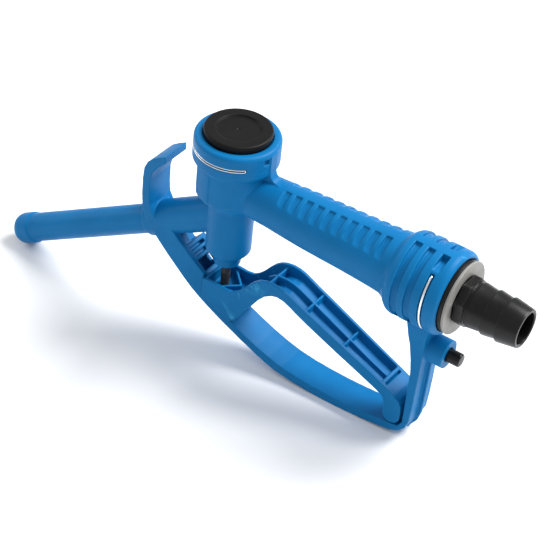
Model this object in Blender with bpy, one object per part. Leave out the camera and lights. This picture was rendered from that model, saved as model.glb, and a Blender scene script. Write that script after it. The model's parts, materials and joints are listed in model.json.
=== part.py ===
"""Hand nozzle for a barrel pump hose: plastic body with guard, squeeze lever, lift valve, spout, swivel tail.

Dimensions are in millimetres: X runs back along the grip to the hose, Z up along the valve, Y across.
The finished set is moved so that the middle of its box stands on the origin.
"""
import math

import bmesh
import bpy
from mathutils import Matrix, Vector

MM = 0.001
GAP = 0.3            # clearance between touching pieces
W = 11.0             # half width of guard strap and lever

# body
COLLAR_R, COLLAR_TOP, COLLAR_LOW = 27.0, 38.2, 22.0
HOUSING_R, LOWER_R, NOSE_R, NOSE_END = 23.3, 14.6, 8.8, -60.0
CHAMBER_R, SEAT_LEDGE, PLUG_BORE_R = 17.0, -8.0, 20.0
SOCKET_R, SOCKET_END, SOCKET_BORE = 27.0, 160.9, 19.0
GRIP_DROP = 1.5      # the grip's centre sits this much above the tail axis
POCKETS, POCKET_FIRST, POCKET_PITCH, POCKET_W = 10, 42.2, 7.95, 4.7
BOSS_Z, BOSS_R, BOSS_END = -45.3, 9.2, 162.6
CLIP_Z, TAIL_CLIP_X = 29.0, 151.0

# spout
SPOUT_START = Vector((0, 0, -20.8))
SPOUT_DIR = Vector((-0.858, 0, -0.5136)).normalized()
SPOUT_R, SPOUT_TIP, SPOUT_ROOT = 9.7, 194.3, 42.0

# lever
PIVOT = (136.2, -102.4)
LEVER_W = 11.5

for old in list(bpy.data.objects):
    bpy.data.objects.remove(old)


# ---------- helpers ----------

def material(name, rgb, rough=0.45, metal=0.0):
    m = bpy.data.materials.get(name)
    if m is None:
        m = bpy.data.materials.new(name)
        m.use_nodes = True
        b = m.node_tree.nodes["Principled BSDF"]
        b.inputs["Base Color"].default_value = (*rgb, 1)
        b.inputs["Roughness"].default_value = rough
        b.inputs["Metallic"].default_value = metal
    return m


def finish_mesh(name, bm, mat=None, smooth=True):
    bmesh.ops.remove_doubles(bm, verts=bm.verts, dist=1e-4)
    bmesh.ops.recalc_face_normals(bm, faces=bm.faces)
    me = bpy.data.meshes.new(name)
    bm.to_mesh(me)
    bm.free()
    for p in me.polygons:
        p.use_smooth = smooth
    ob = bpy.data.objects.new(name, me)
    bpy.context.scene.collection.objects.link(ob)
    if mat:
        me.materials.append(mat)
    return ob


def axis_matrix(origin, direction):
    """Local Z along the direction, local Y along the part's Y wherever that is possible."""
    d = Vector(direction).normalized()
    x = Vector((0, 1, 0)).cross(d)
    x = x.normalized() if x.length > 1e-3 else Vector((1, 0, 0))
    return Matrix.Translation(Vector(origin)) @ Matrix((x, d.cross(x), d)).transposed().to_4x4()


def lathe(name, profile, origin=(0, 0, 0), direction=(0, 0, 1), segs=48, mat=None, turn=0.0):
    """Turns a closed loop of (radius, height) points about an axis. Points at radius 0 close on the axis."""
    bm = bmesh.new()
    m = axis_matrix(origin, direction)
    rings = []
    for r, h in profile:
        if r < 1e-6:
            rings.append([bm.verts.new(m @ Vector((0, 0, h)))])
            continue
        ring = []
        for i in range(segs):
            a = 2 * math.pi * i / segs + turn
            ring.append(bm.verts.new((m @ Vector((r * math.cos(a), r * math.sin(a), h)))))
        rings.append(ring)
    closed = profile[0][0] > 1e-6
    pairs = list(zip(rings, rings[1:])) + ([(rings[-1], rings[0])] if closed else [])
    for a, b in pairs:
        if len(a) == 1 and len(b) == 1:
            continue
        for i in range(segs):
            j = (i + 1) % segs
            if len(a) == 1:
                bm.faces.new((a[0], b[i], b[j]))
            elif len(b) == 1:
                bm.faces.new((a[i], a[j], b[0]))
            else:
                bm.faces.new((a[i], a[j], b[j], b[i]))
    return finish_mesh(name, bm, mat)


def rod(name, r, start, end, segs=32, mat=None, turn=0.0):
    start, end = Vector(start), Vector(end)
    return lathe(name, [(0, 0), (r, 0), (r, (end - start).length), (0, (end - start).length)],
                 start, end - start, segs, mat, turn)


def tube(name, r_out, r_in, start, end, segs=40, mat=None):
    start, end = Vector(start), Vector(end)
    n = (end - start).length
    return lathe(name, [(r_in, 0), (r_out, 0), (r_out, n), (r_in, n)], start, end - start, segs, mat)


def ring(name, major, minor, origin, direction, segs=32, sides=8, mat=None):
    prof = [(major + minor * math.cos(2 * math.pi * i / sides),
             minor * math.sin(2 * math.pi * i / sides)) for i in range(sides)]
    return lathe(name, prof, origin, direction, segs, mat)


def slab(name, points, y0, y1, mat=None, smooth=True):
    """Extrudes a closed outline of (x, z) points from y0 to y1."""
    bm = bmesh.new()
    a = [bm.verts.new(Vector((x, y0, z))) for x, z in points]
    b = [bm.verts.new(Vector((x, y1, z))) for x, z in points]
    n = len(points)
    bm.faces.new(a)
    bm.faces.new(list(reversed(b)))
    for i in range(n):
        j = (i + 1) % n
        bm.faces.new((a[j], a[i], b[i], b[j]))
    return finish_mesh(name, bm, mat, smooth)


def block(name, x0, x1, y0, y1, z0, z1, mat=None):
    return slab(name, [(x0, z0), (x1, z0), (x1, z1), (x0, z1)], y0, y1, mat)


def wire(name, path, r, sides=8, mat=None):
    """A round wire along a list of points, capped at both ends."""
    bm = bmesh.new()
    pts = [Vector(p) for p in path]
    rings = []
    up = None
    for i, p in enumerate(pts):
        t = (pts[min(i + 1, len(pts) - 1)] - pts[max(i - 1, 0)]).normalized()
        if up is None:
            up = t.orthogonal().normalized()
        up = (up - t * up.dot(t)).normalized()
        side = t.cross(up)
        rings.append([bm.verts.new((p + (up * math.cos(k) + side * math.sin(k)) * r))
                      for k in (2 * math.pi * n / sides for n in range(sides))])
    for a, b in zip(rings, rings[1:]):
        for i in range(sides):
            j = (i + 1) % sides
            bm.faces.new((a[i], a[j], b[j], b[i]))
    bm.faces.new(list(reversed(rings[0])))
    bm.faces.new(rings[-1])
    return finish_mesh(name, bm, mat)


def tidy_mesh(me):
    """Closes up the hair-thin slivers that a cut can leave."""
    bm = bmesh.new()
    bm.from_mesh(me)
    bmesh.ops.remove_doubles(bm, verts=bm.verts, dist=2e-3)
    bmesh.ops.dissolve_degenerate(bm, edges=bm.edges, dist=1e-3)
    bm.to_mesh(me)
    bm.free()


def boolean(target, others, operation):
    for o in others:
        mod = target.modifiers.new("b", "BOOLEAN")
        mod.operation = operation
        mod.solver = "EXACT"
        mod.object = o
        dg = bpy.context.evaluated_depsgraph_get()
        me = bpy.data.meshes.new_from_object(target.evaluated_get(dg))
        target.modifiers.clear()
        old = target.data
        target.data = me
        bpy.data.meshes.remove(old)
        bpy.data.objects.remove(o)
        tidy_mesh(target.data)
    return target


def add(target, *others):
    return boolean(target, others, "UNION")


def cut(target, *others):
    return boolean(target, others, "DIFFERENCE")


def spout_at(s, side=0.0):
    """Point at distance s down the spout's axis, moved sideways in the plane of symmetry."""
    return SPOUT_START + SPOUT_DIR * s + Vector((SPOUT_DIR.z, 0, -SPOUT_DIR.x)) * side


BLUE = material("blue_plastic", (0.02, 0.2, 0.62), 0.38)
BLACK = material("black_plastic", (0.02, 0.02, 0.022), 0.45)
RUBBER = material("seal_rubber", (0.03, 0.03, 0.03), 0.7)
STEEL = material("clip_steel", (0.72, 0.73, 0.75), 0.25, 1.0)
GREY = material("washer_plastic", (0.5, 0.5, 0.49), 0.5)
WHITE = material("valve_plastic", (0.78, 0.78, 0.76), 0.45)

# ---------- body moulding ----------
body = lathe("body_moulding", [
    (0, NOSE_END), (8.0, NOSE_END), (NOSE_R, -59.2), (NOSE_R, -54.2), (9.3, -53.2), (13.2, -50.0),
    (LOWER_R, -48.0), (LOWER_R, -14.0), (15.6, -11.8), (21.0, -6.8), (22.7, -4.4), (HOUSING_R, -1.5),
    (HOUSING_R, 17.0), (24.4, 19.4), (26.3, 20.8), (COLLAR_R, COLLAR_LOW), (COLLAR_R, 35.6),
    (26.6, 37.0), (25.6, 37.9), (24.4, COLLAR_TOP), (0, COLLAR_TOP)], segs=52, mat=BLUE)
grip = lathe("grip", [(0, 8), (15.2, 8), (15.3, 20), (15.8, 32), (16.8, 45), (17.6, 58), (18.2, 73), (18.7, 88),
                      (19.3, 100), (19.9, 110), (20.6, 118), (21.4, 126), (0, 126)],
             (0, 0, GRIP_DROP), (1, 0, 0), 40)
socket = lathe("socket", [(0, 117), (19.5, 117), (21.6, 121.5), (24.6, 124.4), (26.3, 126.6), (SOCKET_R, 129.6),
                          (SOCKET_R, 157.4), (26.4, 159.4), (25.3, 160.5), (24.2, SOCKET_END),
                          (0, SOCKET_END)], (0, 0, 0), (1, 0, 0), 48)
front_tube = rod("front", 11.6, spout_at(4), spout_at(68.5), 40)
boss = rod("boss", BOSS_R, (141.5, 0, BOSS_Z), (BOSS_END, 0, BOSS_Z), 36)
spine = slab("spine", [(16, 8), (20, 25), (27.3, 25), (27.5, 22.8), (28.2, 20.6), (29.6, 18.8),
                       (31.6, 17.8), (36, 17.2), (36, 8)], -3.4, 3.4)
OUTER = [(-44.8, 4.6), (-50, 1.6), (-54.6, -1.6), (-58.4, -5.8), (-60.6, -11), (-61.2, -18), (-61.2, -32),
         (-60.5, -40), (-58, -47.5), (-53, -54.5), (-45.5, -62), (-38, -69), (-31, -75), (-24, -81),
         (-18, -85.6), (-11, -90), (-4, -93.9), (2, -97), (9, -100.4), (16, -103.5), (22, -106.2),
         (29, -109), (35, -111.6), (42, -114.1), (48, -116), (55, -117.3), (67, -118.5), (80, -119.2),
         (92, -119.2), (104, -118.6), (116, -117.6), (128, -116.2), (137.5, -114.4), (143, -111.8),
         (147, -107.6), (149, -102), (149.8, -90), (150.3, -70), (150.8, -48), (151, -30), (151, -16)]
INNER = [(136, -16), (136.6, -26), (139, -36), (141, -42), (143.2, -53), (144.4, -62), (144.6, -78),
         (144.6, -104), (142, -108.4), (137, -109.6), (128, -110.6), (116, -111.8), (104, -112.7),
         (92, -113.2), (80, -113.1), (67, -112.4), (55, -110.9), (45, -108.4), (35, -105.2), (25, -101.3),
         (16, -97.4), (9, -94.4), (2, -91.2), (-4, -88.3), (-9.6, -85.2), (-9.6, -69.4), (-12, -67.8),
         (-18, -63.4), (-27, -56.2), (-33, -51.4), (-36, -48.6), (-50.5, -45), (-54.6, -38), (-55.4, -30),
         (-55.6, -18), (-54.2, -12.5), (-51.5, -8.2), (-48.5, -4.6), (-44.4, -0.6)]
guard = slab("guard", OUTER + INNER, -W, W)
eye = rod("eye", 5.0, (PIVOT[0], -3.8, PIVOT[1]), (PIVOT[0], 3.8, PIVOT[1]), 32)
foot = slab("foot", [(131.8, -111.5), (131.8, -103.2), (140.6, -103.2), (146, -105.4), (146, -112)], -3.8, 3.8)
lug = block("lug", 16, 27.3, -3.4, 3.4, 21.2, 35.6)
rib = slab("rib", [(148, -52), (153.0, -52), (152.7, -70), (152.2, -88), (151.6, -99), (149.6, -106.4),
                   (146, -111.6), (141.5, -114.6), (139.5, -113.0), (147, -104)], -1.4, 1.4)
saddle = slab("saddle", [(133, -18), (151, -18), (151, -36), (146, -41), (139.5, -40), (136.5, -30)], -9.2, 9.2)
add(body, grip, socket, front_tube, guard, eye, foot, rib, boss, saddle, lug, spine)

# channel and rungs in the front leg
RAIL_0, RAIL_D = Vector((-37, 0, -49)), Vector((0.761, 0, -0.652)).normalized()
RAIL_N = Vector((RAIL_D.z, 0, -RAIL_D.x))


def rail_box(name, s0, s1, n0, n1, y0, y1):
    pts = [RAIL_0 + RAIL_D * s + RAIL_N * n for s, n in ((s0, n0), (s1, n0), (s1, n1), (s0, n1))]
    return slab(name, [(p.x, p.z) for p in pts], y0, y1)


RUNGS, RUNG_FIRST, RUNG_PITCH, RUNG_W = 3, 13.6, 4.7, 2.3
edges = [4.0] + [v for i in range(RUNGS) for v in (RUNG_FIRST + i * RUNG_PITCH,
                                                   RUNG_FIRST + i * RUNG_PITCH + RUNG_W)]
cuts = [rail_box("gap", edges[i], edges[i + 1], -8.0, 2.6, -7.0, 7.0) for i in range(0, len(edges) - 1, 2)]
cuts += [rail_box("deep", edges[-1], 45.0, -8.0, 11.6, -8.0, 8.0),
         rail_box("arch", 5.0, 13.2, -8.0, 8.6, 0.8, 14.0), rail_box("side_slot", 26.4, 31.4, 3.9, 7.4, 5.0, 14.0),
         rail_box("core_a", 6.0, 14.0, 11.0, 22.0, -5.5, 5.5), rail_box("core_b", 17.0, 23.0, 8.0, 22.0, -5.5, 5.5)]
cut(body, *cuts)

# hole for the lever's pin in the guard's eye
cut(body, rod("pivot_hole", 2.5, (PIVOT[0], -9, PIVOT[1]), (PIVOT[0], 9, PIVOT[1]), 24))

# flow passages
cut(body,
    lathe("valve_bore", [(0, -70), (6.5, -70), (6.5, -42), (10.0, -42), (10.0, SEAT_LEDGE), (CHAMBER_R, SEAT_LEDGE),
                         (CHAMBER_R, 20.0), (PLUG_BORE_R, 20.0), (PLUG_BORE_R, 36.9), (21.7, 36.9), (21.7, 60),
                         (0, 60)], segs=44),
    lathe("spout_bore", [(0, 7), (7.7, 7), (7.7, SPOUT_ROOT - GAP), (SPOUT_R + GAP, SPOUT_ROOT - GAP),
                         (SPOUT_R + GAP, 90), (0, 90)], SPOUT_START, SPOUT_DIR, 32),
    lathe("tail_bore", [(0, 12), (9.0, 12), (9.0, 124.0), (12.0, 124.0), (12.0, 132.0), (SOCKET_BORE, 132.0),
                        (SOCKET_BORE, 158.6), (23.4, 158.6), (23.4, 190), (0, 190)], (0, 0, 0), (1, 0, 0), 40),
    rod("boss_bore", 4.7, (150, 0, BOSS_Z), (190, 0, BOSS_Z), 28))

# grip pockets each side of the smooth top, socket grooves
def pocket(x, side):
    """A pocket with a flat floor that leans outwards, so it is deepest near the top and runs out down the side."""
    radius = 16.6 + 0.048 * (x - 42)
    lean = Matrix.Translation((x, 0, GRIP_DROP)) @ Matrix.Rotation(math.radians(-30 * side), 4, "X")
    tool = block("pocket", -POCKET_W / 2, POCKET_W / 2, -30, 30, radius - 1.5 - 0.008 * (x - 42), 40)
    tool.data.transform(lean)
    y0, y1 = sorted((side * 4.0, side * -60.0))
    return cut(tool, block("band", x - 5, x + 5, y0, y1, -60, 60), block("under", x - 5, x + 5, -60, 60, -60, 2))


for side in (-1, 1):
    tools = [pocket(POCKET_FIRST + i * POCKET_PITCH, side) for i in range(POCKETS)]
    y0, y1 = sorted((side * 3.2, side * 30.0))
    tools.append(block("short", 149.0, 154.2, y0, y1, 22.2, 30))
    cut(body, *tools)
for x in (133.0, 141.9):
    groove = lathe("groove", [(24.7, 0), (40, 0), (40, 4.8), (24.7, 4.8)], (x - 2.4, 0, 0), (1, 0, 0), 48)
    keep = add(block("keep", x - 5, x + 5, -3.2, 3.2, 0, 50), block("keep2", x - 5, x + 5, -40, 40, -50, -22))
    if x > 135:
        keep = add(keep, block("keep3", x - 5, x + 5, -12, 12, -50, -10))
    cut(groove, keep)
    cut(body, groove)

# grooves and holes for the two wire clips
clip_a0, clip_a1 = math.radians(150), math.radians(315)
WIRE_R = 0.8


def arc_band(name, r0, r1, h, a0, a1, origin, direction, n=28):
    """A flat arc-shaped cutter of height 2h about an axis."""
    bm = bmesh.new()
    m = axis_matrix(origin, direction)
    rows = []
    for i in range(n + 1):
        a = a0 + (a1 - a0) * i / n
        rows.append([bm.verts.new((m @ Vector((r * math.cos(a), r * math.sin(a), z))))
                     for r, z in ((r0, -h), (r1, -h), (r1, h), (r0, h))])
    for a, b in zip(rows, rows[1:]):
        for i in range(4):
            j = (i + 1) % 4
            bm.faces.new((a[i], a[j], b[j], b[i]))
    bm.faces.new(list(reversed(rows[0])))
    bm.faces.new(rows[-1])
    return finish_mesh(name, bm)


def clip_path(r, a0, a1, r_end, origin, direction, n=26):
    """Round the outside at radius r, then in through the wall at both ends."""
    m = axis_matrix(origin, direction)
    pts = [(r_end, a0)] + [(r, a0 + (a1 - a0) * i / n) for i in range(n + 1)] + [(r_end, a1)]
    return [m @ Vector((q * math.cos(a), q * math.sin(a), 0)) for q, a in pts]


# raised plain pad on the housing's front, and the small notch in the collar beside the grip's spine
add(body, arc_band("pad", 20.0, 24.0, 10.2, math.radians(229), math.radians(263), (0, 0, 7.2), (0, 0, 1), 8))
notch = block("notch", 24.9, 30, -2.0, 2.0, 30.6, 34.2)
notch.data.transform(Matrix.Rotation(math.radians(-13.5), 4, "Z"))
cut(body, notch, arc_band("seam", 26.2, 40, 0.45, math.radians(-36), math.radians(-9), (0, 0, 27.0), (0, 0, 1), 8))

cut(body, arc_band("clip_groove", 25.1, 40, 1.25, clip_a0 - 0.05, clip_a1 + 0.05, (0, 0, CLIP_Z), (0, 0, 1)))
for a in (clip_a0, clip_a1):
    d = Vector((math.cos(a), math.sin(a), 0))
    cut(body, rod("clip_hole", 1.2, d * 15 + Vector((0, 0, CLIP_Z)), d * 30 + Vector((0, 0, CLIP_Z)), 14))
TM = axis_matrix((TAIL_CLIP_X, 0, 0), (1, 0, 0))
ta0, ta1 = math.radians(222), math.radians(318)
cut(body, arc_band("tail_groove", 25.1, 40, 1.5, ta0 - 0.06, ta1 + 0.06, (TAIL_CLIP_X, 0, 0), (1, 0, 0)))
for a in (ta0, ta1):
    inner = TM @ Vector((14 * math.cos(a), 14 * math.sin(a), 0))
    outer = TM @ Vector((30 * math.cos(a), 30 * math.sin(a), 0))
    cut(body, rod("tail_hole", 1.2, inner, outer, 14))

wire("bonnet_clip", clip_path(26.3, clip_a0, clip_a1, 18.7, (0, 0, CLIP_Z), (0, 0, 1)), WIRE_R, mat=STEEL)
wire("swivel_clip", clip_path(26.3, ta0, ta1, 17.5, (TAIL_CLIP_X, 0, 0), (1, 0, 0)), WIRE_R, mat=STEEL)

# ---------- spout ----------
spout = lathe("spout_tube", [
    (7.2, SPOUT_ROOT), (9.4, SPOUT_ROOT), (SPOUT_R, SPOUT_ROOT + 0.6), (SPOUT_R, 46.8), (8.25, 46.8),
    (8.25, 49.2), (SPOUT_R, 49.2), (SPOUT_R, 180.0), (10.1, 180.6), (10.6, 182.0), (10.6, 190.4),
    (10.2, 192.4), (9.6, 193.8), (9.1, SPOUT_TIP), (7.9, SPOUT_TIP), (7.3, 193.7), (7.2, 192.2)],
    SPOUT_START, SPOUT_DIR, 36, BLUE)
ring("spout_oring", 9.2, 0.62, spout_at(48), SPOUT_DIR, 32, 8, RUBBER)

# ---------- bonnet plug, its seal, the valve and its spring ----------
plug = lathe("bonnet_plug", [
    (0, 37.4), (4.4, 37.4), (4.4, 22.0), (6.2, 22.0), (6.2, 31.0), (11.2, 31.0), (11.2, 20.6), (19.2, 20.6),
    (19.7, 21.1), (19.7, 22.0), (17.3, 22.0), (17.3, 25.2), (19.7, 25.2), (19.7, 27.7), (17.9, 27.7),
    (17.9, 30.3), (19.7, 30.3), (19.7, 37.2), (20.7, 37.2), (21.3, 37.8), (21.35, 41.2), (20.9, 42.1),
    (20.2, 42.4), (14.4, 42.4), (13.9, 42.1), (13.7, 41.5), (1.6, 41.5), (1.2, 41.1), (0, 41.0)],
    segs=40, mat=BLACK)
ring("bonnet_oring", 18.75, 1.1, (0, 0, 23.6), (0, 0, 1), 36, 8, RUBBER)
tube("valve_seat", CHAMBER_R - GAP, 8.8, (0, 0, SEAT_LEDGE + GAP), (0, 0, -3.7), 44, WHITE)
lathe("valve_poppet", [(0, -3.4), (4.7, -3.4), (4.7, -1.1), (13.0, -1.1), (13.3, 0.0), (13.0, 1.6), (11.0, 2.0),
                       (4.0, 2.0), (4.0, 23.6), (3.4, 24.4), (0, 24.4)], segs=40, mat=WHITE)
tube("poppet_seal", 13.0, 5.0, (0, 0, -3.4), (0, 0, -1.4), 40, RUBBER)
SPRING_LOW, SPRING_HIGH, TURNS, SPRING_R, SPRING_WIRE = 3.3, 29.7, 6.0, 8.7, 0.9
steps = 78
helix = []
for i in range(steps + 1):
    t = i / steps
    turn_now = 2 * math.pi * (TURNS + 1.5) * t
    flat = min(max((t * (TURNS + 1.5) - 0.75) / TURNS, 0), 1)
    rise = SPRING_LOW + 0.0 + (SPRING_HIGH - SPRING_LOW) * (flat * 0.86 + t * 0.14)
    helix.append((SPRING_R * math.cos(turn_now), SPRING_R * math.sin(turn_now), rise))
wire("main_spring", helix, SPRING_WIRE, 6, STEEL)

lathe("valve_stem", [(0, -79.0), (2.2, -79.0), (3.0, -78.2), (3.0, -8.0), (2.2, -7.4), (2.2, -3.7), (0, -3.7)],
      segs=28, mat=BLACK)
tube("stem_gland", 6.2, 3.3, (0, 0, -59.4), (0, 0, -47.6), 32, WHITE)
ring("stem_oring", 4.75, 1.3, (0, 0, -45.8), (0, 0, 1), 24, 8, RUBBER)

# ---------- lever ----------
LEVER_TOP = [(-8.6, -71.6), (-3, -70.8), (3, -70.8), (9, -71.2), (14, -70.4), (18, -67.6), (21.6, -63.8),
             (25.8, -58.2), (29.4, -54.0), (33, -51.2), (37, -49.4), (42, -48.5), (47, -48.7), (52, -50.0),
             (57, -52.2), (63, -55.0), (75, -60.0), (88, -65.6), (101, -71.2), (114, -76.8), (123, -80.7),
             (131, -84.4), (136.5, -87.2), (140, -89.8), (141.9, -93.4), (142.4, -98)]
LEVER_END = [(PIVOT[0] + 6.2 * math.cos(k * math.pi / 12), PIVOT[1] - 6.2 * math.sin(k * math.pi / 12))
             for k in range(13)]
LEVER_LOW = [(130, -97.5), (129.4, -93.6), (127.6, -91.2), (123.6, -89.3), (118, -86.9), (104, -80.9),
             (93, -76.3), (80, -70.6), (70, -66.2), (63, -62.8), (57, -59.6), (52, -57.3), (47, -56.6),
             (43, -57.8), (38, -61.2), (34, -66.0), (29.6, -72.6), (26, -78.0), (23, -82.4), (20.4, -87.4),
             (17.6, -92.0), (13.6, -94.4), (9, -92.8), (2, -89.6), (-4, -86.7), (-8.6, -84.0)]
INSIDE_LOW = [(126, -87.6), (121.2, -85.8), (104, -78.5), (93, -73.8), (80, -68.1), (70, -63.7), (63, -60.3),
              (57, -57.2), (52, -55.1), (47, -54.4), (42, -55.6), (36.6, -59.3), (32.2, -64.9), (27.6, -71.8),
              (22.6, -79.3), (-6.2, -79.3)]
RIB_TOP = [(32.5, -55.4), (36, -52.4), (40.8, -50.8), (47, -50.6), (52, -51.4), (57.8, -53.6), (62, -55.6),
           (71, -59.8), (79, -63.5), (87, -67.4), (103, -74.9), (112.5, -79.4), (118.7, -82), (126.8, -85.4)]
RIB_LOW = [(126.8, -88.6), (118.7, -85.8), (104, -79.4), (93, -74.7), (80, -69), (70, -64.6), (57, -58.1),
           (47, -55.4), (42, -56.6), (36.6, -60.3), (33, -64)]
lever = slab("trigger_lever", LEVER_TOP + LEVER_END + LEVER_LOW, -LEVER_W, LEVER_W, BLUE)
channel = slab("channel", [(-6.2, -60), (15, -60), (30, -40), (60, -38), (126, -70)] + INSIDE_LOW,
               -LEVER_W + 2.1, LEVER_W - 2.1)
cut(lever, channel,
    slab("under", [(-6.2, -81.9), (21.0, -81.9), (18.4, -87), (15.6, -91), (13.6, -96), (9, -96), (-6.2, -92)],
         -LEVER_W + 2.1, LEVER_W - 2.1),
    slab("end_groove", [(127.9, -78), (129.5, -78), (129.5, -86.8), (127.9, -86.0)], -8.6, 8.6))
# ribs: one along the middle, four across, and the pair that meet behind the stem
add(lever, slab("long_rib", RIB_TOP + RIB_LOW, -0.75, 0.75))
for x, low, high in ((38.7, -59.5, -51.6), (66.9, -62.8, -57.9), (95.2, -75.6, -71.2), (125.2, -88.0, -84.2)):
    add(lever, slab("cross", [(x - 0.7, low), (x + 0.7, low), (x + 0.7, high), (x - 0.7, high)],
                    -LEVER_W + 1, LEVER_W - 1))
for side in (-1, 1):
    bm = bmesh.new()
    a, b = Vector((12.5, 0, 0)), Vector((1.0, side * (LEVER_W - 1.6), 0))
    n = Vector((0, 0, 1)).cross(b - a).normalized() * 0.7
    low = [bm.verts.new(Vector((p.x, p.y, -80.2))) for p in (a + n, b + n, b - n, a - n)]
    top = [bm.verts.new(Vector((p.x, p.y, -73.4))) for p in (a + n, b + n, b - n, a - n)]
    bm.faces.new(low)
    bm.faces.new(list(reversed(top)))
    for i in range(4):
        j = (i + 1) % 4
        bm.faces.new((low[j], low[i], top[i], top[j]))
    add(lever, finish_mesh("vee", bm))
# tongue between the rails, the fork that straddles the guard's eye, and blind holes for the pin
add(lever, slab("tongue", [(-7.0, -73.6), (-11.6, -71.4), (-13.4, -73.0), (-13.0, -76.6), (-10.6, -80.0),
                           (-7.0, -82.2)], -6.6, 6.6))
cut(lever, slab("fork", [(126.8, -118), (126.8, -99), (129.6, -96.4), (148, -96.4), (148, -118)], -4.6, 4.6),
    rod("pin_hole", 2.6, (PIVOT[0], -10.4, PIVOT[1]), (PIVOT[0], 10.4, PIVOT[1]), 24))
# the lever is widest where the fingers pull
for v in lever.data.vertices:
    v.co.y *= 1 + (0.122 - 0.174 * min(max((v.co.x - 45) / 75, 0), 1))
rod("lever_pivot_pin", 2.2, (PIVOT[0], -9.4, PIVOT[1]), (PIVOT[0], 9.4, PIVOT[1]), 24, STEEL)

# ---------- hose tail and what holds it ----------
tail = lathe("hose_tail", [
    (10.0, 133.2), (18.0, 133.2), (18.6, 133.8), (18.6, 136.4), (16.2, 136.4), (16.2, 139.6), (18.6, 139.6),
    (18.6, 142.0), (16.2, 142.0), (16.2, 145.2), (18.6, 145.2), (18.6, 149.4), (16.6, 149.4), (16.6, 152.6),
    (18.6, 152.6), (18.6, 158.0), (14.3, 158.0), (14.3, 172.4), (13.6, 172.6), (13.6, 173.9), (14.4, 174.2),
    (14.3, 175.2), (13.3, 183.8), (14.4, 184.1), (14.3, 185.2), (13.1, 193.6), (14.3, 193.9), (14.2, 195.0),
    (12.5, 206.0), (12.1, 206.8),
    (10.6, 206.8), (10.0, 206.2)], (0, 0, 0), (1, 0, 0), 36, BLACK)
hexagon = lathe("hexagon", [(12, 166.0), (15.6, 166.0), (16.0, 166.4), (16.0, 171.6), (15.6, 172.0), (12, 172.0)],
                (0, 0, 0), (1, 0, 0), 8, turn=math.radians(22.5))
add(tail, hexagon)
ring("swivel_oring_front", 17.7, 1.15, (138.0, 0, 0), (1, 0, 0), 36, 8, RUBBER)
ring("swivel_oring_rear", 17.7, 1.15, (143.6, 0, 0), (1, 0, 0), 36, 8, RUBBER)
tube("dust_ring", 23.0, 14.7, (158.9, 0, 0), (163.2, 0, 0), 48, BLACK)
lathe("thrust_washer", [(14.7, 163.6), (23.0, 163.6), (23.4, 164.0), (23.4, 165.0), (23.0, 165.4), (14.7, 165.4)],
      (0, 0, 0), (1, 0, 0), 48, GREY)
lathe("boss_plug", [(0, 150.4), (4.0, 150.4), (4.4, 150.9), (4.4, 170.4), (3.8, 171.3), (0, 171.5)],
      (0, 0, BOSS_Z), (1, 0, 0), 28, BLACK)

# ---------- inlet strainer ----------
strainer = lathe("inlet_strainer", [(0, 125.4), (9.4, 125.4), (11.7, 129.6), (11.7, 131.6), (10.0, 131.6),
                                    (10.0, 130.2), (8.4, 126.9), (0, 126.9)], (0, 0, 0), (1, 0, 0), 40, WHITE)
holes = []
for count, radius in ((1, 0.0), (8, 4.8)):
    for i in range(count):
        a = 2 * math.pi * i / count
        y, z = radius * math.cos(a), radius * math.sin(a)
        holes.append(rod("h", 1.3, (120, y, z), (135, y, z), 8))
cut(strainer, *holes)

# ---------- set the middle of the box on the origin ----------
meshes = [o for o in bpy.data.objects if o.type == "MESH"]
low = Vector([min(v.co[k] for o in meshes for v in o.data.vertices) for k in range(3)])
high = Vector([max(v.co[k] for o in meshes for v in o.data.vertices) for k in range(3)])
shift = Vector((-(low.x + high.x) / 2, 0, -low.z))
for o in meshes:
    o.data.transform(Matrix.Scale(MM, 4) @ Matrix.Translation(shift))

# moving pieces turn or slide about their own origins
ORIGINS = {"trigger_lever": (PIVOT[0], 0, PIVOT[1]), "hose_tail": (151, 0, 0), "valve_poppet": (0, 0, 0),
           "valve_stem": (0, 0, 0)}
for name, place in ORIGINS.items():
    o = bpy.data.objects[name]
    at = (Vector(place) + shift) * MM
    o.data.transform(Matrix.Translation(-at))
    o.location = at
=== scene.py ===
"""Looks for the hand nozzle: rounded mouldings, turned plastic, wire clips, materials, floor, light and camera.

Shapes are made in millimetres in the nozzle's own axes: X runs back along the grip from the valve, Z up along
the valve and Y across. SHIFT, read from the frame, takes them to the CAD's place.
"""
import json
import math

import bmesh
import bpy
from mathutils import Matrix, Vector

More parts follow.
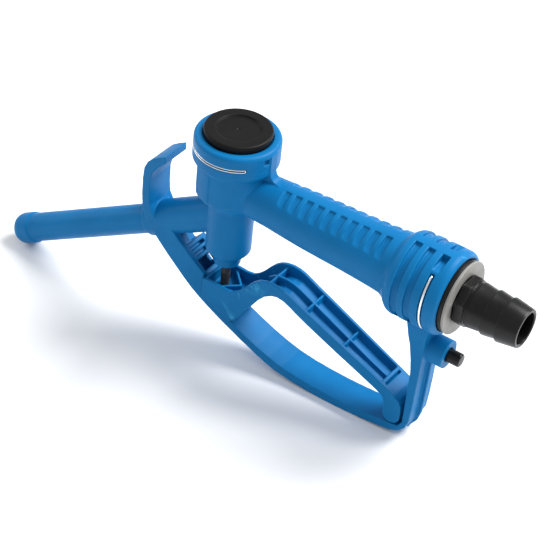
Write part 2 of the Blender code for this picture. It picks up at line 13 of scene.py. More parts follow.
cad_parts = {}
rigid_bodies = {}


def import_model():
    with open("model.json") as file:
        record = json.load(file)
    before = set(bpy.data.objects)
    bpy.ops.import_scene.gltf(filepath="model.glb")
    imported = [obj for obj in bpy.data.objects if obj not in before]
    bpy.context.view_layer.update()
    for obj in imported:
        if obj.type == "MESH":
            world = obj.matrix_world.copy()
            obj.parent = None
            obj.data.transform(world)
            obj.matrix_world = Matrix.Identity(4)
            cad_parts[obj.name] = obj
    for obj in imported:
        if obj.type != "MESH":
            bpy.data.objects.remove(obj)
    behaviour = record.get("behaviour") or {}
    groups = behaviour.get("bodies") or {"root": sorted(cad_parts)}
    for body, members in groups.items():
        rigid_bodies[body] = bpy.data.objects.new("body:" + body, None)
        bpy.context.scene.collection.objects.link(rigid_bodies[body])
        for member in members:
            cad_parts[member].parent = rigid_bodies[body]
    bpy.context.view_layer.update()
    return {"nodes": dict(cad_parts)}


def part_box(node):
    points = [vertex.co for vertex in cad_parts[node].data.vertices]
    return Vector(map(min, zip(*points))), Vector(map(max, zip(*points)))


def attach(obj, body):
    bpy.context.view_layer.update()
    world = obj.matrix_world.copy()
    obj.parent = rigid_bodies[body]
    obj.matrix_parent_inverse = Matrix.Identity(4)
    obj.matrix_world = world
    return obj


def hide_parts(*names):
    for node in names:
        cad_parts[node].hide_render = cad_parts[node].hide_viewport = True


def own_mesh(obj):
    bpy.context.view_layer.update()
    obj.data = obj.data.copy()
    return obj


for old in list(bpy.data.objects):
    bpy.data.objects.remove(old)
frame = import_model()

MM = 0.001
stem_low, stem_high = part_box("valve_stem")
tail_low, tail_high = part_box("hose_tail")
SHIFT = Vector(((stem_low[0] + stem_high[0]) / 2, 0, (tail_low[2] + tail_high[2]) / 2)) / MM
PLACE = Matrix.Scale(MM, 4) @ Matrix.Translation(SHIFT)
W = 11.0                                  # half width of the guard
VOXEL = 0.4       # size of the skin cells that round a moulding's edges


# ---------- mesh helpers ----------

def new_object(name, bm, smooth=True):
    bmesh.ops.remove_doubles(bm, verts=bm.verts, dist=1e-4)
    bmesh.ops.recalc_face_normals(bm, faces=bm.faces)
    me = bpy.data.meshes.new(name)
    bm.to_mesh(me)
    bm.free()
    for p in me.polygons:
        p.use_smooth = smooth
    ob = bpy.data.objects.new(name, me)
    bpy.context.scene.collection.objects.link(ob)
    return ob


def axis_matrix(origin, direction):
    """Local Z along the direction, local Y along the part's Y wherever that is possible."""
    d = Vector(direction).normalized()
    x = Vector((0, 1, 0)).cross(d)
    x = x.normalized() if x.length > 1e-3 else Vector((1, 0, 0))
    return Matrix.Translation(Vector(origin)) @ Matrix((x, d.cross(x), d)).transposed().to_4x4()


def rounded(points, radius, steps=4):
    """Rounds the corners of a closed loop of 2-D points. Points on the axis stay as they are."""
    out = []
    n = len(points)
    for i, (x, y) in enumerate(points):
        b = Vector((x, y))
        a, c = Vector(points[i - 1]), Vector(points[(i + 1) % n])
        if b.x < 1e-6 or (a - b).length < 1e-6 or (c - b).length < 1e-6:
            out.append((x, y))
            continue
        u, v = (a - b).normalized(), (c - b).normalized()
        bend = math.acos(max(-1, min(1, u.dot(v))))
        if bend > math.radians(172):
            out.append((x, y))
            continue
        t = min(radius / math.tan(bend / 2), 0.42 * (a - b).length, 0.42 * (c - b).length)
        p, q = b + u * t, b + v * t
        for k in range(steps + 1):
            s = k / steps
            m = p * (1 - s) ** 2 + b * 2 * s * (1 - s) + q * s ** 2
            out.append((m.x, m.y))
    return out


def lathe(name, profile, origin=(0, 0, 0), direction=(0, 0, 1), segs=128, turn=0.0):
    """Turns a closed loop of (radius, height) points about an axis. Points at radius 0 close on the axis."""
    bm = bmesh.new()
    m = axis_matrix(origin, direction)
    rings = []
    for r, h in profile:
        if r < 1e-6:
            rings.append([bm.verts.new(m @ Vector((0, 0, h)))])
            continue
        rings.append([bm.verts.new(m @ Vector((r * math.cos(2 * math.pi * i / segs + turn),
                                               r * math.sin(2 * math.pi * i / segs + turn), h)))
                      for i in range(segs)])
    pairs = list(zip(rings, rings[1:])) + ([(rings[-1], rings[0])] if profile[0][0] > 1e-6 else [])
    for a, b in pairs:
        if len(a) == 1 and len(b) == 1:
            continue
        for i in range(segs):
            j = (i + 1) % segs
            if len(a) == 1:
                bm.faces.new((a[0], b[i], b[j]))
            elif len(b) == 1:
                bm.faces.new((a[i], a[j], b[0]))
            else:
                bm.faces.new((a[i], a[j], b[j], b[i]))
    return new_object(name, bm)


def rod(name, r, start, end, segs=48, turn=0.0):
    start, end = Vector(start), Vector(end)
    n = (end - start).length
    return lathe(name, [(0, 0), (r, 0), (r, n), (0, n)], start, end - start, segs, turn)


def slab(name, points, y0, y1):
    """Extrudes a closed outline of (x, z) points from y0 to y1."""
    bm = bmesh.new()
    a = [bm.verts.new(Vector((x, y0, z))) for x, z in points]
    b = [bm.verts.new(Vector((x, y1, z))) for x, z in points]
    bm.faces.new(a)
    bm.faces.new(list(reversed(b)))
    for i in range(len(a)):
        j = (i + 1) % len(a)
        bm.faces.new((a[j], a[i], b[i], b[j]))
    return new_object(name, bm)


def block(name, x0, x1, y0, y1, z0, z1):
    return slab(name, [(x0, z0), (x1, z0), (x1, z1), (x0, z1)], y0, y1)


def arc_band(name, r0, r1, h, a0, a1, origin, direction, n=40):
    """A flat arc-shaped body of height 2h about an axis."""
    bm = bmesh.new()
    m = axis_matrix(origin, direction)
    rows = []
    for i in range(n + 1):
        a = a0 + (a1 - a0) * i / n
        rows.append([bm.verts.new(m @ Vector((r * math.cos(a), r * math.sin(a), z)))
                     for r, z in ((r0, -h), (r1, -h), (r1, h), (r0, h))])
    for a, b in zip(rows, rows[1:]):
        for i in range(4):
            j = (i + 1) % 4
            bm.faces.new((a[i], a[j], b[j], b[i]))
    bm.faces.new(list(reversed(rows[0])))
    bm.faces.new(rows[-1])
    return new_object(name, bm)


def wire(name, path, r, sides=16):
    """A round wire along a list of points, its ends closed flat."""
    bm = bmesh.new()
    pts = [Vector(p) for p in path]
    rings = []
    up = None
    for i, p in enumerate(pts):
        t = (pts[min(i + 1, len(pts) - 1)] - pts[max(i - 1, 0)]).normalized()
        up = t.orthogonal().normalized() if up is None else (up - t * up.dot(t)).normalized()
        side = t.cross(up)
        rings.append([bm.verts.new(p + (up * math.cos(k) + side * math.sin(k)) * r)
                      for k in (2 * math.pi * n / sides for n in range(sides))])
    for a, b in zip(rings, rings[1:]):
        for i in range(sides):
            j = (i + 1) % sides
            bm.faces.new((a[i], a[j], b[j], b[i]))
    bm.faces.new(list(reversed(rings[0])))
    bm.faces.new(rings[-1])
    return new_object(name, bm)


def apply_modifiers(ob):
    dg = bpy.context.evaluated_depsgraph_get()
    me = bpy.data.meshes.new_from_object(ob.evaluated_get(dg))
    ob.modifiers.clear()
    old = ob.data
    ob.data = me
    bpy.data.meshes.remove(old)


def boolean(target, others, operation):
    for o in others:
        mod = target.modifiers.new("b", "BOOLEAN")
        mod.operation, mod.solver, mod.object = operation, "EXACT", o
        apply_modifiers(target)
        bpy.data.objects.remove(o)
        bm = bmesh.new()
        bm.from_mesh(target.data)
        bmesh.ops.remove_doubles(bm, verts=bm.verts, dist=2e-3)
        bmesh.ops.dissolve_degenerate(bm, edges=bm.edges, dist=1e-3)
        bm.to_mesh(target.data)
        bm.free()
    return target


def add(target, *others):
    return boolean(target, others, "UNION")


def cut(target, *others):
    return boolean(target, others, "DIFFERENCE")


def mould(ob, voxel, relax, keep):
    """Gives a sharp-cornered solid the small radii of a moulding: even skin, relaxed, then thinned out."""
    mod = ob.modifiers.new("skin", "REMESH")
    mod.mode, mod.voxel_size, mod.adaptivity = "VOXEL", voxel, 0.0
    mod = ob.modifiers.new("relax", "SMOOTH")
    mod.factor, mod.iterations = 0.5, relax
    if keep < 1:
        mod = ob.modifiers.new("thin", "DECIMATE")
        mod.ratio = keep
    apply_modifiers(ob)
    for p in ob.data.polygons:
        p.use_smooth = True
    return ob


def settle(ob, mat, body, slot, *nodes):
    """Moves a piece to the CAD's place, gives it its material and stands it in for its CAD node."""
    ob.data.transform(PLACE)
    ob.data.materials.clear()
    ob.data.materials.append(mat)
    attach(ob, body)
    if nodes:
        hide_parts(*nodes)
    return ob


# ---------- materials ----------

def plastic(name, low, high, rough=(0.34, 0.46), grain=0.05, scale=2600.0, edge_highlight_and_wear=None, specular=0.5):
    """Moulded plastic: faint colour drift, fine grain, uneven gloss, and, where an edge colour is given, lighter
    convex edges: a painted edge highlight broken into rubbed patches.
    """
    m = bpy.data.materials.new(name)
    m.use_nodes = True
    nt = m.node_tree
    b = nt.nodes["Principled BSDF"]
    b.inputs["Specular IOR Level"].default_value = specular
    tc = nt.nodes.new("ShaderNodeTexCoord")

    def noise(freq, detail, roughness=0.5):
        n = nt.nodes.new("ShaderNodeTexNoise")
        n.inputs["Scale"].default_value = freq
        n.inputs["Detail"].default_value = detail
        n.inputs["Roughness"].default_value = roughness
        nt.links.new(tc.outputs["Object"], n.inputs["Vector"])
        return n.outputs["Fac"]

    def spread(value, lo, hi, a=0.35, z=0.65):
        r = nt.nodes.new("ShaderNodeMapRange")
        r.inputs["From Min"].default_value = a
        r.inputs["From Max"].default_value = z
        r.inputs["To Min"].default_value = lo
        r.inputs["To Max"].default_value = hi
        nt.links.new(value, r.inputs["Value"])
        return r.outputs["Result"]

    def mix(fac, a, c):
        x = nt.nodes.new("ShaderNodeMix")
        x.data_type = "RGBA"
        nt.links.new(fac, x.inputs["Factor"])
        for sock, v in (("A", a), ("B", c)):
            s = [i for i in x.inputs if i.name == sock and i.type == "RGBA"][0]
            if isinstance(v, tuple):
                s.default_value = (*v, 1)
            else:
                nt.links.new(v, s)
        return [o for o in x.outputs if o.type == "RGBA"][0]

    colour = mix(spread(noise(38.0, 4.0), 0.0, 1.0), low, high)
    # painted edge highlight: a lighter colour on convex edges (high pointiness), broken up by a noise mask into
    # rubbed patches
    if edge_highlight_and_wear:
        geo = nt.nodes.new("ShaderNodeNewGeometry")
        edge = spread(geo.outputs["Pointiness"], 0.0, 1.0, 0.52, 0.60)
        patch = spread(noise(160.0, 5.0, 0.65), 0.25, 0.9, 0.4, 0.62)
        both = nt.nodes.new("ShaderNodeMath")
        both.operation = "MULTIPLY"
        nt.links.new(edge, both.inputs[0])
        nt.links.new(patch, both.inputs[1])
        colour = mix(both.outputs[0], colour, edge_highlight_and_wear)
    nt.links.new(colour, b.inputs["Base Color"])
    nt.links.new(spread(noise(90.0, 6.0, 0.6), *rough), b.inputs["Roughness"])
    bump = nt.nodes.new("ShaderNodeBump")
    bump.inputs["Strength"].default_value = grain
    bump.inputs["Distance"].default_value = 0.00012
    nt.links.new(noise(scale, 3.0), bump.inputs["Height"])
    flow = nt.nodes.new("ShaderNodeBump")
    flow.inputs["Strength"].default_value = grain * 1.6
    flow.inputs["Distance"].default_value = 0.0006
    nt.links.new(noise(120.0, 2.0), flow.inputs["Height"])
    nt.links.new(bump.outputs["Normal"], flow.inputs["Normal"])
    nt.links.new(flow.outputs["Normal"], b.inputs["Normal"])
    return m


def metal(name, colour, rough=(0.16, 0.3), drawn=900.0):
    """Drawn stainless wire: bright, with fine streaks in its gloss."""
    m = plastic(name, colour, tuple(min(1, c * 1.06) for c in colour), rough, 0.03, drawn)
    m.node_tree.nodes["Principled BSDF"].inputs["Metallic"].default_value = 1.0
    return m


# The edge colours given to the blue, black and grey plastics are lighter tones on convex edges: painted edge
# highlights, broken into rubbed patches.
BLUE = plastic("blue_polypropylene", (0.002, 0.137, 0.350), (0.003, 0.153, 0.385), (0.36, 0.47), 0.05,
               edge_highlight_and_wear=(0.035, 0.30, 0.56), specular=0.11)
BLACK = plastic("black_nylon", (0.0028, 0.0026, 0.0026), (0.005, 0.0046, 0.0046), (0.24, 0.38), 0.08,
                edge_highlight_and_wear=(0.10, 0.095, 0.09), specular=0.26)
CAP = plastic("cap_nylon", (0.0035, 0.0032, 0.0032), (0.006, 0.0055, 0.0055), (0.36, 0.50), 0.12, specular=0.14)
GREY = plastic("washer_acetal", (0.19, 0.184, 0.171), (0.24, 0.232, 0.216), (0.4, 0.55), 0.08,
               edge_highlight_and_wear=(0.52, 0.50, 0.48))
IVORY = plastic("valve_acetal", (0.62, 0.61, 0.57), (0.72, 0.71, 0.67), (0.32, 0.45), 0.05)
RUBBER = plastic("nitrile_rubber", (0.008, 0.008, 0.008), (0.016, 0.016, 0.016), (0.5, 0.65), 0.12, 3400.0)
STEEL = metal("stainless_wire", (0.78, 0.79, 0.80))
PIN_STEEL = metal("pin_steel", (0.55, 0.56, 0.57), (0.25, 0.4), 1400.0)

# ---------- body moulding ----------
GRIP_DROP, BOSS_Z, CLIP_Z, TAIL_CLIP_X = 1.5, -45.3, 29.0, 151.0
SPOUT_START = Vector((0, 0, -20.8))
SPOUT_DIR = Vector((-0.858, 0, -0.5136)).normalized()
SPOUT_R, SPOUT_TIP, SPOUT_ROOT = 9.7, 194.3, 42.0
PIVOT, LEVER_W = (136.2, -102.4), 11.5


def spout_at(s, side=0.0):
    return SPOUT_START + SPOUT_DIR * s + Vector((SPOUT_DIR.z, 0, -SPOUT_DIR.x)) * side


HOUSING = [(0, -60), (8.0, -60), (8.8, -59.2), (8.8, -54.2), (9.3, -53.2), (13.2, -50.0), (14.6, -48.0),
           (14.6, -14.0), (15.6, -11.8), (21.0, -6.8), (22.7, -4.4), (23.3, -1.5), (23.3, 17.0), (24.4, 19.4),
           (26.3, 20.8), (27.0, 22.0), (27.0, 35.6), (26.6, 37.0), (25.6, 37.9), (24.4, 38.2), (0, 38.2)]
GRIP = [(0, 8), (15.2, 8), (15.3, 20), (15.8, 32), (16.8, 45), (17.6, 58), (18.2, 73), (18.7, 88), (19.3, 100),
        (19.9, 110), (20.6, 118), (21.4, 126), (0, 126)]
SOCKET = [(0, 117), (19.5, 117), (21.6, 121.5), (24.6, 124.4), (26.3, 126.6), (27.0, 129.6), (27.0, 157.4),
          (26.4, 159.4), (25.3, 160.5), (24.2, 160.9), (0, 160.9)]
OUTER = [(-44.8, 4.6), (-50, 1.6), (-54.6, -1.6), (-58.4, -5.8), (-60.6, -11), (-61.2, -18), (-61.2, -32),
         (-60.5, -40), (-58, -47.5), (-53, -54.5), (-45.5, -62), (-38, -69), (-31, -75), (-24, -81),
         (-18, -85.6), (-11, -90), (-4, -93.9), (2, -97), (9, -100.4), (16, -103.5), (22, -106.2),
         (29, -109), (35, -111.6), (42, -114.1), (48, -116), (55, -117.3), (67, -118.5), (80, -119.2),
         (92, -119.2), (104, -118.6), (116, -117.6), (128, -116.2), (137.5, -114.4), (143, -111.8),
         (147, -107.6), (149, -102), (149.8, -90), (150.3, -70), (150.8, -48), (151, -30), (151, -16)]
INNER = [(136, -16), (136.6, -26), (139, -36), (141, -42), (143.2, -53), (144.4, -62), (144.6, -78),
         (144.6, -104), (142, -108.4), (137, -109.6), (128, -110.6), (116, -111.8), (104, -112.7),
         (92, -113.2), (80, -113.1), (67, -112.4), (55, -110.9), (45, -108.4), (35, -105.2), (25, -101.3),
         (16, -97.4), (9, -94.4), (2, -91.2), (-4, -88.3), (-9.6, -85.2), (-9.6, -69.4), (-12, -67.8),
         (-18, -63.4), (-27, -56.2), (-33, -51.4), (-36, -48.6), (-50.5, -45), (-54.6, -38), (-55.4, -30),
         (-55.6, -18), (-54.2, -12.5), (-51.5, -8.2), (-48.5, -4.6), (-44.4, -0.6)]

body = lathe("body", rounded(HOUSING, 1.4), segs=144)
grip = lathe("grip", GRIP, (0, 0, GRIP_DROP), (1, 0, 0), 120)
socket = lathe("socket", rounded(SOCKET, 1.5), (0, 0, 0), (1, 0, 0), 144)
guard = slab("guard", OUTER + INNER, -W, W)
eye = rod("eye", 5.0, (PIVOT[0], -3.8, PIVOT[1]), (PIVOT[0], 3.8, PIVOT[1]))
foot = slab("foot", [(131.8, -111.5), (131.8, -103.2), (140.6, -103.2), (146, -105.4), (146, -112)], -3.8, 3.8)
lug = block("lug", 16, 27.3, -3.4, 3.4, 21.2, 35.6)
rib = slab("rib", [(148, -52), (153.0, -52), (152.7, -70), (152.2, -88), (151.6, -99), (149.6, -106.4),
                   (146, -111.6), (141.5, -114.6), (139.5, -113.0), (147, -104)], -1.4, 1.4)
saddle = slab("saddle", [(133, -18), (151, -18), (151, -36), (146, -41), (139.5, -40), (136.5, -30)], -9.2, 9.2)
spine = slab("spine", [(16, 8), (20, 25), (27.3, 25), (27.5, 22.8), (28.2, 20.6), (29.6, 18.8),
                       (31.6, 17.8), (36, 17.2), (36, 8)], -3.4, 3.4)
add(body, grip, socket, rod("front", 11.6, spout_at(4), spout_at(68.5), 96), guard, eye, foot, rib, lug,
    rod("boss", 9.2, (141.5, 0, BOSS_Z), (162.6, 0, BOSS_Z), 80), saddle, spine,
    arc_band("pad", 20.0, 24.0, 10.2, math.radians(229), math.radians(263), (0, 0, 7.2), (0, 0, 1)))

# front leg: shallow ladder with the arch above it, the nose channel below, and the cores in its front
RAIL_0, RAIL_D = Vector((-37, 0, -49)), Vector((0.761, 0, -0.652)).normalized()
RAIL_N = Vector((RAIL_D.z, 0, -RAIL_D.x))


def rail_box(name, s0, s1, n0, n1, y0, y1):
    pts = [RAIL_0 + RAIL_D * s + RAIL_N * n for s, n in ((s0, n0), (s1, n0), (s1, n1), (s0, n1))]
    return slab(name, [(p.x, p.z) for p in pts], y0, y1)


RUNGS, RUNG_FIRST, RUNG_PITCH, RUNG_W = 3, 13.6, 4.7, 2.3
edges = [4.0] + [v for i in range(RUNGS) for v in (RUNG_FIRST + i * RUNG_PITCH,
                                                   RUNG_FIRST + i * RUNG_PITCH + RUNG_W)]
cuts = [rail_box("gap", edges[i], edges[i + 1], -8.0, 2.6, -7.0, 7.0) for i in range(0, len(edges) - 1, 2)]
cuts += [rail_box("deep", edges[-1], 45.0, -8.0, 11.6, -8.0, 8.0),
         rail_box("arch", 5.0, 13.2, -8.0, 8.6, 0.8, 14.0),
         rail_box("side_slot", 26.4, 31.4, 3.9, 7.4, 5.0, 14.0),
         rail_box("core_a", 6.0, 14.0, 11.0, 22.0, -5.5, 5.5),
         rail_box("core_b", 17.0, 23.0, 8.0, 22.0, -5.5, 5.5),
         rod("pivot_hole", 2.5, (PIVOT[0], -9, PIVOT[1]), (PIVOT[0], 9, PIVOT[1]), 40)]
cut(body, *cuts)

# flow passages
cut(body,
    lathe("valve_bore", [(0, -70), (6.5, -70), (6.5, -42), (10.0, -42), (10.0, -8.0), (17.0, -8.0), (17.0, 20.0),
                         (20.0, 20.0), (20.0, 36.9), (21.7, 36.9), (21.7, 60), (0, 60)], segs=96),
    lathe("spout_bore", [(0, 7), (7.7, 7), (7.7, SPOUT_ROOT - 0.3), (SPOUT_R + 0.3, SPOUT_ROOT - 0.3),
                         (SPOUT_R + 0.3, 90), (0, 90)], SPOUT_START, SPOUT_DIR, 72),
    lathe("tail_bore", [(0, 12), (9.0, 12), (9.0, 124.0), (12.0, 124.0), (12.0, 132.0), (19.0, 132.0),
                        (19.0, 158.6), (23.4, 158.6), (23.4, 190), (0, 190)], (0, 0, 0), (1, 0, 0), 96),
    rod("boss_bore", 4.7, (150, 0, BOSS_Z), (190, 0, BOSS_Z), 56))

# grip pockets beside the smooth top, and the grooves round the socket
POCKETS, POCKET_FIRST, POCKET_PITCH, POCKET_W = 10, 42.2, 7.95, 4.7


def pocket(x, side):
    """A pocket with a flat floor that leans outwards: deepest near the top, running out down the side."""
    radius = 16.6 + 0.048 * (x - 42)
    lean = Matrix.Translation((x, 0, GRIP_DROP)) @ Matrix.Rotation(math.radians(-30 * side), 4, "X")
    tool = block("pocket", -POCKET_W / 2, POCKET_W / 2, -30, 30, radius - 1.5 - 0.008 * (x - 42), 40)
    tool.data.transform(lean)
    y0, y1 = sorted((side * 4.0, side * -60.0))
    return cut(tool, block("band", x - 5, x + 5, y0, y1, -60, 60),
               block("under", x - 5, x + 5, -60, 60, -60, 2))


for side in (-1, 1):
    tools = [pocket(POCKET_FIRST + i * POCKET_PITCH, side) for i in range(POCKETS)]
    y0, y1 = sorted((side * 3.2, side * 30.0))
    cut(body, *tools, block("short", 149.0, 154.2, y0, y1, 22.2, 30))
for x in (133.0, 141.9):
    groove = lathe("groove", [(24.7, 0), (40, 0), (40, 4.8), (24.7, 4.8)], (x - 2.4, 0, 0), (1, 0, 0), 120)
    keep = add(block("keep", x - 5, x + 5, -3.2, 3.2, 0, 50),
               block("keep2", x - 5, x + 5, -40, 40, -50, -22))
    if x > 135:
        keep = add(keep, block("keep3", x - 5, x + 5, -12, 12, -50, -10))
    cut(groove, keep)
    cut(body, groove)

# clip grooves, the seam line and the notch
clip_a0, clip_a1 = math.radians(150), math.radians(315)
ta0, ta1 = math.radians(222), math.radians(318)
notch = block("notch", 24.9, 30, -2.0, 2.0, 30.6, 34.2)
notch.data.transform(Matrix.Rotation(math.radians(-13.5), 4, "Z"))
cut(body, notch,
    arc_band("seam", 26.2, 40, 0.45, math.radians(-36), math.radians(-9), (0, 0, 27.0), (0, 0, 1)),
    arc_band("clip_groove", 25.1, 40, 1.25, clip_a0 - 0.05, clip_a1 + 0.05, (0, 0, CLIP_Z), (0, 0, 1)),
    arc_band("tail_groove", 25.1, 40, 1.5, ta0 - 0.06, ta1 + 0.06, (TAIL_CLIP_X, 0, 0), (1, 0, 0)))
mould(body, VOXEL, 4, 0.3)
settle(body, BLUE, "nozzle", "blue", "body_moulding")

# ---------- lever ----------
LEVER_TOP = [(-8.6, -71.6), (-3, -70.8), (3, -70.8), (9, -71.2), (14, -70.4), (18, -67.6), (21.6, -63.8),
             (25.8, -58.2), (29.4, -54.0), (33, -51.2), (37, -49.4), (42, -48.5), (47, -48.7), (52, -50.0),
             (57, -52.2), (63, -55.0), (75, -60.0), (88, -65.6), (101, -71.2), (114, -76.8), (123, -80.7),
             (131, -84.4), (136.5, -87.2), (140, -89.8), (141.9, -93.4), (142.4, -98)]
LEVER_END = [(PIVOT[0] + 6.2 * math.cos(k * math.pi / 12), PIVOT[1] - 6.2 * math.sin(k * math.pi / 12))
             for k in range(13)]
LEVER_LOW = [(130, -97.5), (129.4, -93.6), (127.6, -91.2), (123.6, -89.3), (118, -86.9), (104, -80.9),
             (93, -76.3), (80, -70.6), (70, -66.2), (63, -62.8), (57, -59.6), (52, -57.3), (47, -56.6),
             (43, -57.8), (38, -61.2), (34, -66.0), (29.6, -72.6), (26, -78.0), (23, -82.4), (20.4, -87.4),
             (17.6, -92.0), (13.6, -94.4), (9, -92.8), (2, -89.6), (-4, -86.7), (-8.6, -84.0)]
INSIDE_LOW = [(126, -87.6), (121.2, -85.8), (104, -78.5), (93, -73.8), (80, -68.1), (70, -63.7), (63, -60.3),
              (57, -57.2), (52, -55.1), (47, -54.4), (42, -55.6), (36.6, -59.3), (32.2, -64.9), (27.6, -71.8),
              (22.6, -79.3), (-6.2, -79.3)]
RIB_TOP = [(32.5, -55.4), (36, -52.4), (40.8, -50.8), (47, -50.6), (52, -51.4), (57.8, -53.6), (62, -55.6),
           (71, -59.8), (79, -63.5), (87, -67.4), (103, -74.9), (112.5, -79.4), (118.7, -82), (126.8, -85.4)]
RIB_LOW = [(126.8, -88.6), (118.7, -85.8), (104, -79.4), (93, -74.7), (80, -69), (70, -64.6), (57, -58.1),
           (47, -55.4), (42, -56.6), (36.6, -60.3), (33, -64)]
lever = slab("lever", LEVER_TOP + LEVER_END + LEVER_LOW, -LEVER_W, LEVER_W)
channel = slab("channel", [(-6.2, -60), (15, -60), (30, -40), (60, -38), (126, -70)] + INSIDE_LOW,
               -LEVER_W + 2.1, LEVER_W - 2.1)
cut(lever, channel,
    slab("under", [(-6.2, -81.9), (21.0, -81.9), (18.4, -87), (15.6, -91), (13.6, -96), (9, -96), (-6.2, -92)],
         -LEVER_W + 2.1, LEVER_W - 2.1),
    slab("end_groove", [(127.9, -78), (129.5, -78), (129.5, -86.8), (127.9, -86.0)], -8.6, 8.6))
# ribs: one along the middle, four across, and the pair that meet behind the stem
add(lever, slab("long_rib", RIB_TOP + RIB_LOW, -0.75, 0.75))
for x, low, high in ((38.7, -59.5, -51.6), (66.9, -62.8, -57.9), (95.2, -75.6, -71.2), (125.2, -88.0, -84.2)):
    add(lever, slab("cross", [(x - 0.7, low), (x + 0.7, low), (x + 0.7, high), (x - 0.7, high)],
                    -LEVER_W + 1, LEVER_W - 1))
for side in (-1, 1):
    bm = bmesh.new()
    a, b = Vector((12.5, 0, 0)), Vector((1.0, side * (LEVER_W - 1.6), 0))
    n = Vector((0, 0, 1)).cross(b - a).normalized() * 0.7
    low = [bm.verts.new(Vector((p.x, p.y, -80.2))) for p in (a + n, b + n, b - n, a - n)]
    top = [bm.verts.new(Vector((p.x, p.y, -73.4))) for p in (a + n, b + n, b - n, a - n)]
    bm.faces.new(low)
    bm.faces.new(list(reversed(top)))
    for i in range(4):
        j = (i + 1) % 4
        bm.faces.new((low[j], low[i], top[i], top[j]))
    add(lever, new_object("vee", bm))
add(lever, slab("tongue", [(-7.0, -73.6), (-11.6, -71.4), (-13.4, -73.0), (-13.0, -76.6), (-10.6, -80.0),
                           (-7.0, -82.2)], -6.6, 6.6))
cut(lever, slab("fork", [(126.8, -118), (126.8, -99), (129.6, -96.4), (148, -96.4), (148, -118)], -4.6, 4.6),
    rod("pin_hole", 2.6, (PIVOT[0], -10.4, PIVOT[1]), (PIVOT[0], 10.4, PIVOT[1]), 40))
mould(lever, VOXEL * 0.85, 4, 0.4)
for v in lever.data.vertices:             # wide at the nose, narrow at the hinge
    v.co.y *= 1 + (0.122 - 0.174 * min(max((v.co.x - 45) / 75, 0), 1))
settle(lever, BLUE, "lever", "blue", "trigger_lever")

# ---------- turned and round pieces ----------
spout = lathe("spout", rounded([
    (7.2, SPOUT_ROOT), (9.4, SPOUT_ROOT), (SPOUT_R, SPOUT_ROOT + 0.6), (SPOUT_R, 46.8), (8.25, 46.8),
    (8.25, 49.2), (SPOUT_R, 49.2), (SPOUT_R, 180.0), (10.1, 180.6), (10.6, 182.0), (10.6, 190.4),
    (10.2, 192.4), (9.6, 193.8), (9.1, SPOUT_TIP), (7.9, SPOUT_TIP), (7.3, 193.7), (7.2, 192.2)], 0.5),
    SPOUT_START, SPOUT_DIR, 128)
settle(spout, BLUE, "nozzle", "blue", "spout_tube")

cap = lathe("cap", rounded([
    (0, 37.4), (4.4, 37.4), (4.4, 22.0), (6.2, 22.0), (6.2, 31.0), (11.2, 31.0), (11.2, 20.6), (19.2, 20.6),
    (19.7, 21.1), (19.7, 22.0), (17.3, 22.0), (17.3, 25.2), (19.7, 25.2), (19.7, 27.7), (17.9, 27.7),
    (17.9, 30.3), (19.7, 30.3), (19.7, 37.2), (20.7, 37.2), (21.3, 37.8), (21.35, 41.2), (20.9, 42.1),
    (20.2, 42.4), (14.6, 42.4), (14.0, 42.2), (13.4, 41.4), (12.6, 41.3), (2.2, 41.5), (1.3, 41.45),
    (0.7, 41.0), (0, 40.9)], 0.35), segs=160)
settle(cap, CAP, "nozzle", "black", "bonnet_plug")

tail = lathe("tail", rounded([
    (10.0, 133.2), (18.0, 133.2), (18.6, 133.8), (18.6, 136.4), (16.2, 136.4), (16.2, 139.6), (18.6, 139.6),
    (18.6, 142.0), (16.2, 142.0), (16.2, 145.2), (18.6, 145.2), (18.6, 149.4), (16.6, 149.4), (16.6, 152.6),
    (18.6, 152.6), (18.6, 158.0), (14.3, 158.0), (14.3, 172.4), (13.6, 172.6), (13.6, 173.9), (14.4, 174.2),
    (14.3, 175.2), (13.3, 183.8), (14.4, 184.1), (14.3, 185.2), (13.1, 193.6), (14.3, 193.9), (14.2, 195.0),
    (12.5, 206.0), (12.1, 206.8),
    (10.6, 206.8), (10.0, 206.2)], 0.25, 3), (0, 0, 0), (1, 0, 0), 128)
flats = lathe("flats", [(12, 166.0), (15.6, 166.0), (16.0, 166.4), (16.0, 171.6), (15.6, 172.0), (12, 172.0)],
              (0, 0, 0), (1, 0, 0), 8, turn=math.radians(22.5))
bm = bmesh.new()
bm.from_mesh(flats.data)
bmesh.ops.subdivide_edges(bm, edges=bm.edges, cuts=6, use_grid_fill=True)
bm.to_mesh(flats.data)
bm.free()
for p in flats.data.polygons:
    p.use_smooth = False
add(tail, flats)
settle(tail, BLACK, "tail", "black", "hose_tail")

dust = lathe("dust", rounded([(14.7, 158.9), (23.0, 158.9), (23.0, 163.2), (14.7, 163.2)], 0.4), (0, 0, 0),
             (1, 0, 0), 128)
settle(dust, BLACK, "nozzle", "black", "dust_ring")
washer = lathe("washer", rounded([(14.7, 163.6), (23.0, 163.6), (23.4, 164.0), (23.4, 165.0), (23.0, 165.4),
                                  (14.7, 165.4)], 0.25), (0, 0, 0), (1, 0, 0), 128)
settle(washer, GREY, "nozzle", "grey", "thrust_washer")
plug = lathe("plug", rounded([(0, 150.4), (4.0, 150.4), (4.4, 150.9), (4.4, 170.4), (3.8, 171.3), (0, 171.5)],
                             0.4), (0, 0, BOSS_Z), (1, 0, 0), 72)
settle(plug, BLACK, "nozzle", "black", "boss_plug")


def clip_path(r, a0, a1, r_end, origin, direction, n=72):
    m = axis_matrix(origin, direction)
    pts = [(r_end, a0)] + [(r, a0 + (a1 - a0) * i / n) for i in range(n + 1)] + [(r_end, a1)]
    return [m @ Vector((q * math.cos(a), q * math.sin(a), 0)) for q, a in pts]


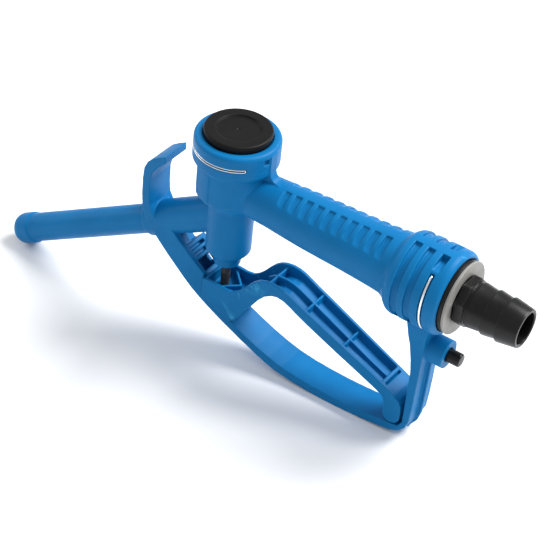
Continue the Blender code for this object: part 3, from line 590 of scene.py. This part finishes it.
def hairpin(name, r, a0, a1, r_end, gap, z, thick, n=90):
    """Two thin wires side by side round the collar, joined by a bend at one end and tucked in at the other."""
    turn = [(r, a1 + gap * math.cos(k * math.pi / 8) / r, gap * math.sin(k * math.pi / 8))
            for k in range(-4, 5)]
    lower = [(r, a0 + (a1 - a0) * i / n, -gap) for i in range(n)]
    upper = [(r, a0 + (a1 - a0) * i / n, gap) for i in reversed(range(n))]
    path = [(r_end, a0, -gap)] + lower + turn + upper + [(r_end, a0, gap)]
    return wire(name, [(q * math.cos(a), q * math.sin(a), z + h) for q, a, h in path], thick, 12)


settle(hairpin("valve_clip", 26.55, clip_a0, clip_a1, 24.4, 0.80, CLIP_Z, 0.34),
       STEEL, "nozzle", "steel", "bonnet_clip")
settle(wire("tail_clip", clip_path(26.3, ta0, ta1, 24.4, (TAIL_CLIP_X, 0, 0), (1, 0, 0)), 0.78),
       STEEL, "nozzle", "steel", "swivel_clip")

# the valve spring, with closed end coils
SPRING_LOW, SPRING_HIGH, TURNS, SPRING_R, SPRING_WIRE, VALVE_LIFT = 3.3, 29.7, 6.0, 8.7, 0.9, 10.1
helix = []
for i in range(289):
    t = i / 288
    flat = min(max((t * (TURNS + 1.5) - 0.75) / TURNS, 0), 1)
    rise = SPRING_LOW + (SPRING_HIGH - SPRING_LOW) * (flat * 0.86 + t * 0.14)
    turn_now = 2 * math.pi * (TURNS + 1.5) * t
    helix.append((SPRING_R * math.cos(turn_now), SPRING_R * math.sin(turn_now), rise))
spring = settle(wire("spring", helix, SPRING_WIRE, 12), STEEL, "nozzle", "steel", "main_spring")
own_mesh(spring)

# ---------- CAD nodes that keep their shape ----------
for node, mat in (("valve_seat", IVORY), ("valve_poppet", IVORY), ("stem_gland", IVORY),
                  ("inlet_strainer", IVORY), ("valve_stem", BLACK),
                  ("lever_pivot_pin", PIN_STEEL), ("bonnet_oring", RUBBER), ("spout_oring", RUBBER),
                  ("poppet_seal", RUBBER), ("stem_oring", RUBBER), ("swivel_oring_front", RUBBER),
                  ("swivel_oring_rear", RUBBER)):
    for s in frame["nodes"][node].material_slots:
        s.material = mat

# ---------- floor, light and camera ----------
tip_low, tip_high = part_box("spout_tube")
guard_low, guard_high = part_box("body_moulding")
FRONT_FOOT = Vector((tip_low[0] + 0.0075, 0, tip_low[2]))
REAR_FOOT = Vector(((86 + SHIFT.x) * MM, 0, guard_low[2]))
TILT = math.atan2(REAR_FOOT.z - FRONT_FOOT.z, REAR_FOOT.x - FRONT_FOOT.x)

bm = bmesh.new()
bmesh.ops.create_grid(bm, x_segments=8, y_segments=8, size=4.0)
floor = new_object("floor", bm)
floor.data.transform(Matrix.Translation(FRONT_FOOT - Vector((0, 0, 0.0003))) @ Matrix.Rotation(-TILT, 4, "Y"))
paper = bpy.data.materials.new("paper")
paper.use_nodes = True
matt = paper.node_tree.nodes["Principled BSDF"]
matt.inputs["Base Color"].default_value = (0.93, 0.93, 0.94, 1)
matt.inputs["Roughness"].default_value = 0.9
floor.data.materials.append(paper)

world = bpy.data.worlds.new("studio")
bpy.context.scene.world = world
world.use_nodes = True
sky = world.node_tree.nodes["Background"]
sky.inputs["Color"].default_value = (0.96, 0.98, 1.0, 1)
sky.inputs["Strength"].default_value = 0.66


def softbox(name, at, aim, size, power):
    light = bpy.data.lights.new(name, "AREA")
    light.shape, light.size, light.energy = "DISK", size, power
    ob = bpy.data.objects.new(name, light)
    bpy.context.scene.collection.objects.link(ob)
    ob.location = at
    ob.rotation_euler = (Vector(aim) - Vector(at)).to_track_quat("-Z", "Y").to_euler()


MIDDLE = (0, 0, 0.06)
softbox("key", (0.68, 0.85, 1.5), MIDDLE, 1.15, 48.0)
softbox("side", (-1.5, -0.3, 0.9), MIDDLE, 0.9, 5.0)

CAMERA_AT = (Vector((535.3, -827.1, 731.1)) + SHIFT) * MM
RIGHT, UP = Vector((0.815, 0.573, 0.086)), Vector((-0.418, 0.479, 0.772))
cam = bpy.data.cameras.new("camera")
cam.angle = 2 * math.atan(0.1375)
cam.clip_start, cam.clip_end = 0.05, 20
camera = bpy.data.objects.new("camera", cam)
bpy.context.scene.collection.objects.link(camera)
RIGHT.normalize()
BACK = RIGHT.cross(UP).normalized()
UP = BACK.cross(RIGHT)
camera.matrix_world = Matrix.Translation(CAMERA_AT) @ Matrix((RIGHT, UP, BACK)).transposed().to_4x4()
bpy.context.scene.camera = camera
bpy.context.scene.view_settings.view_transform = "Standard"
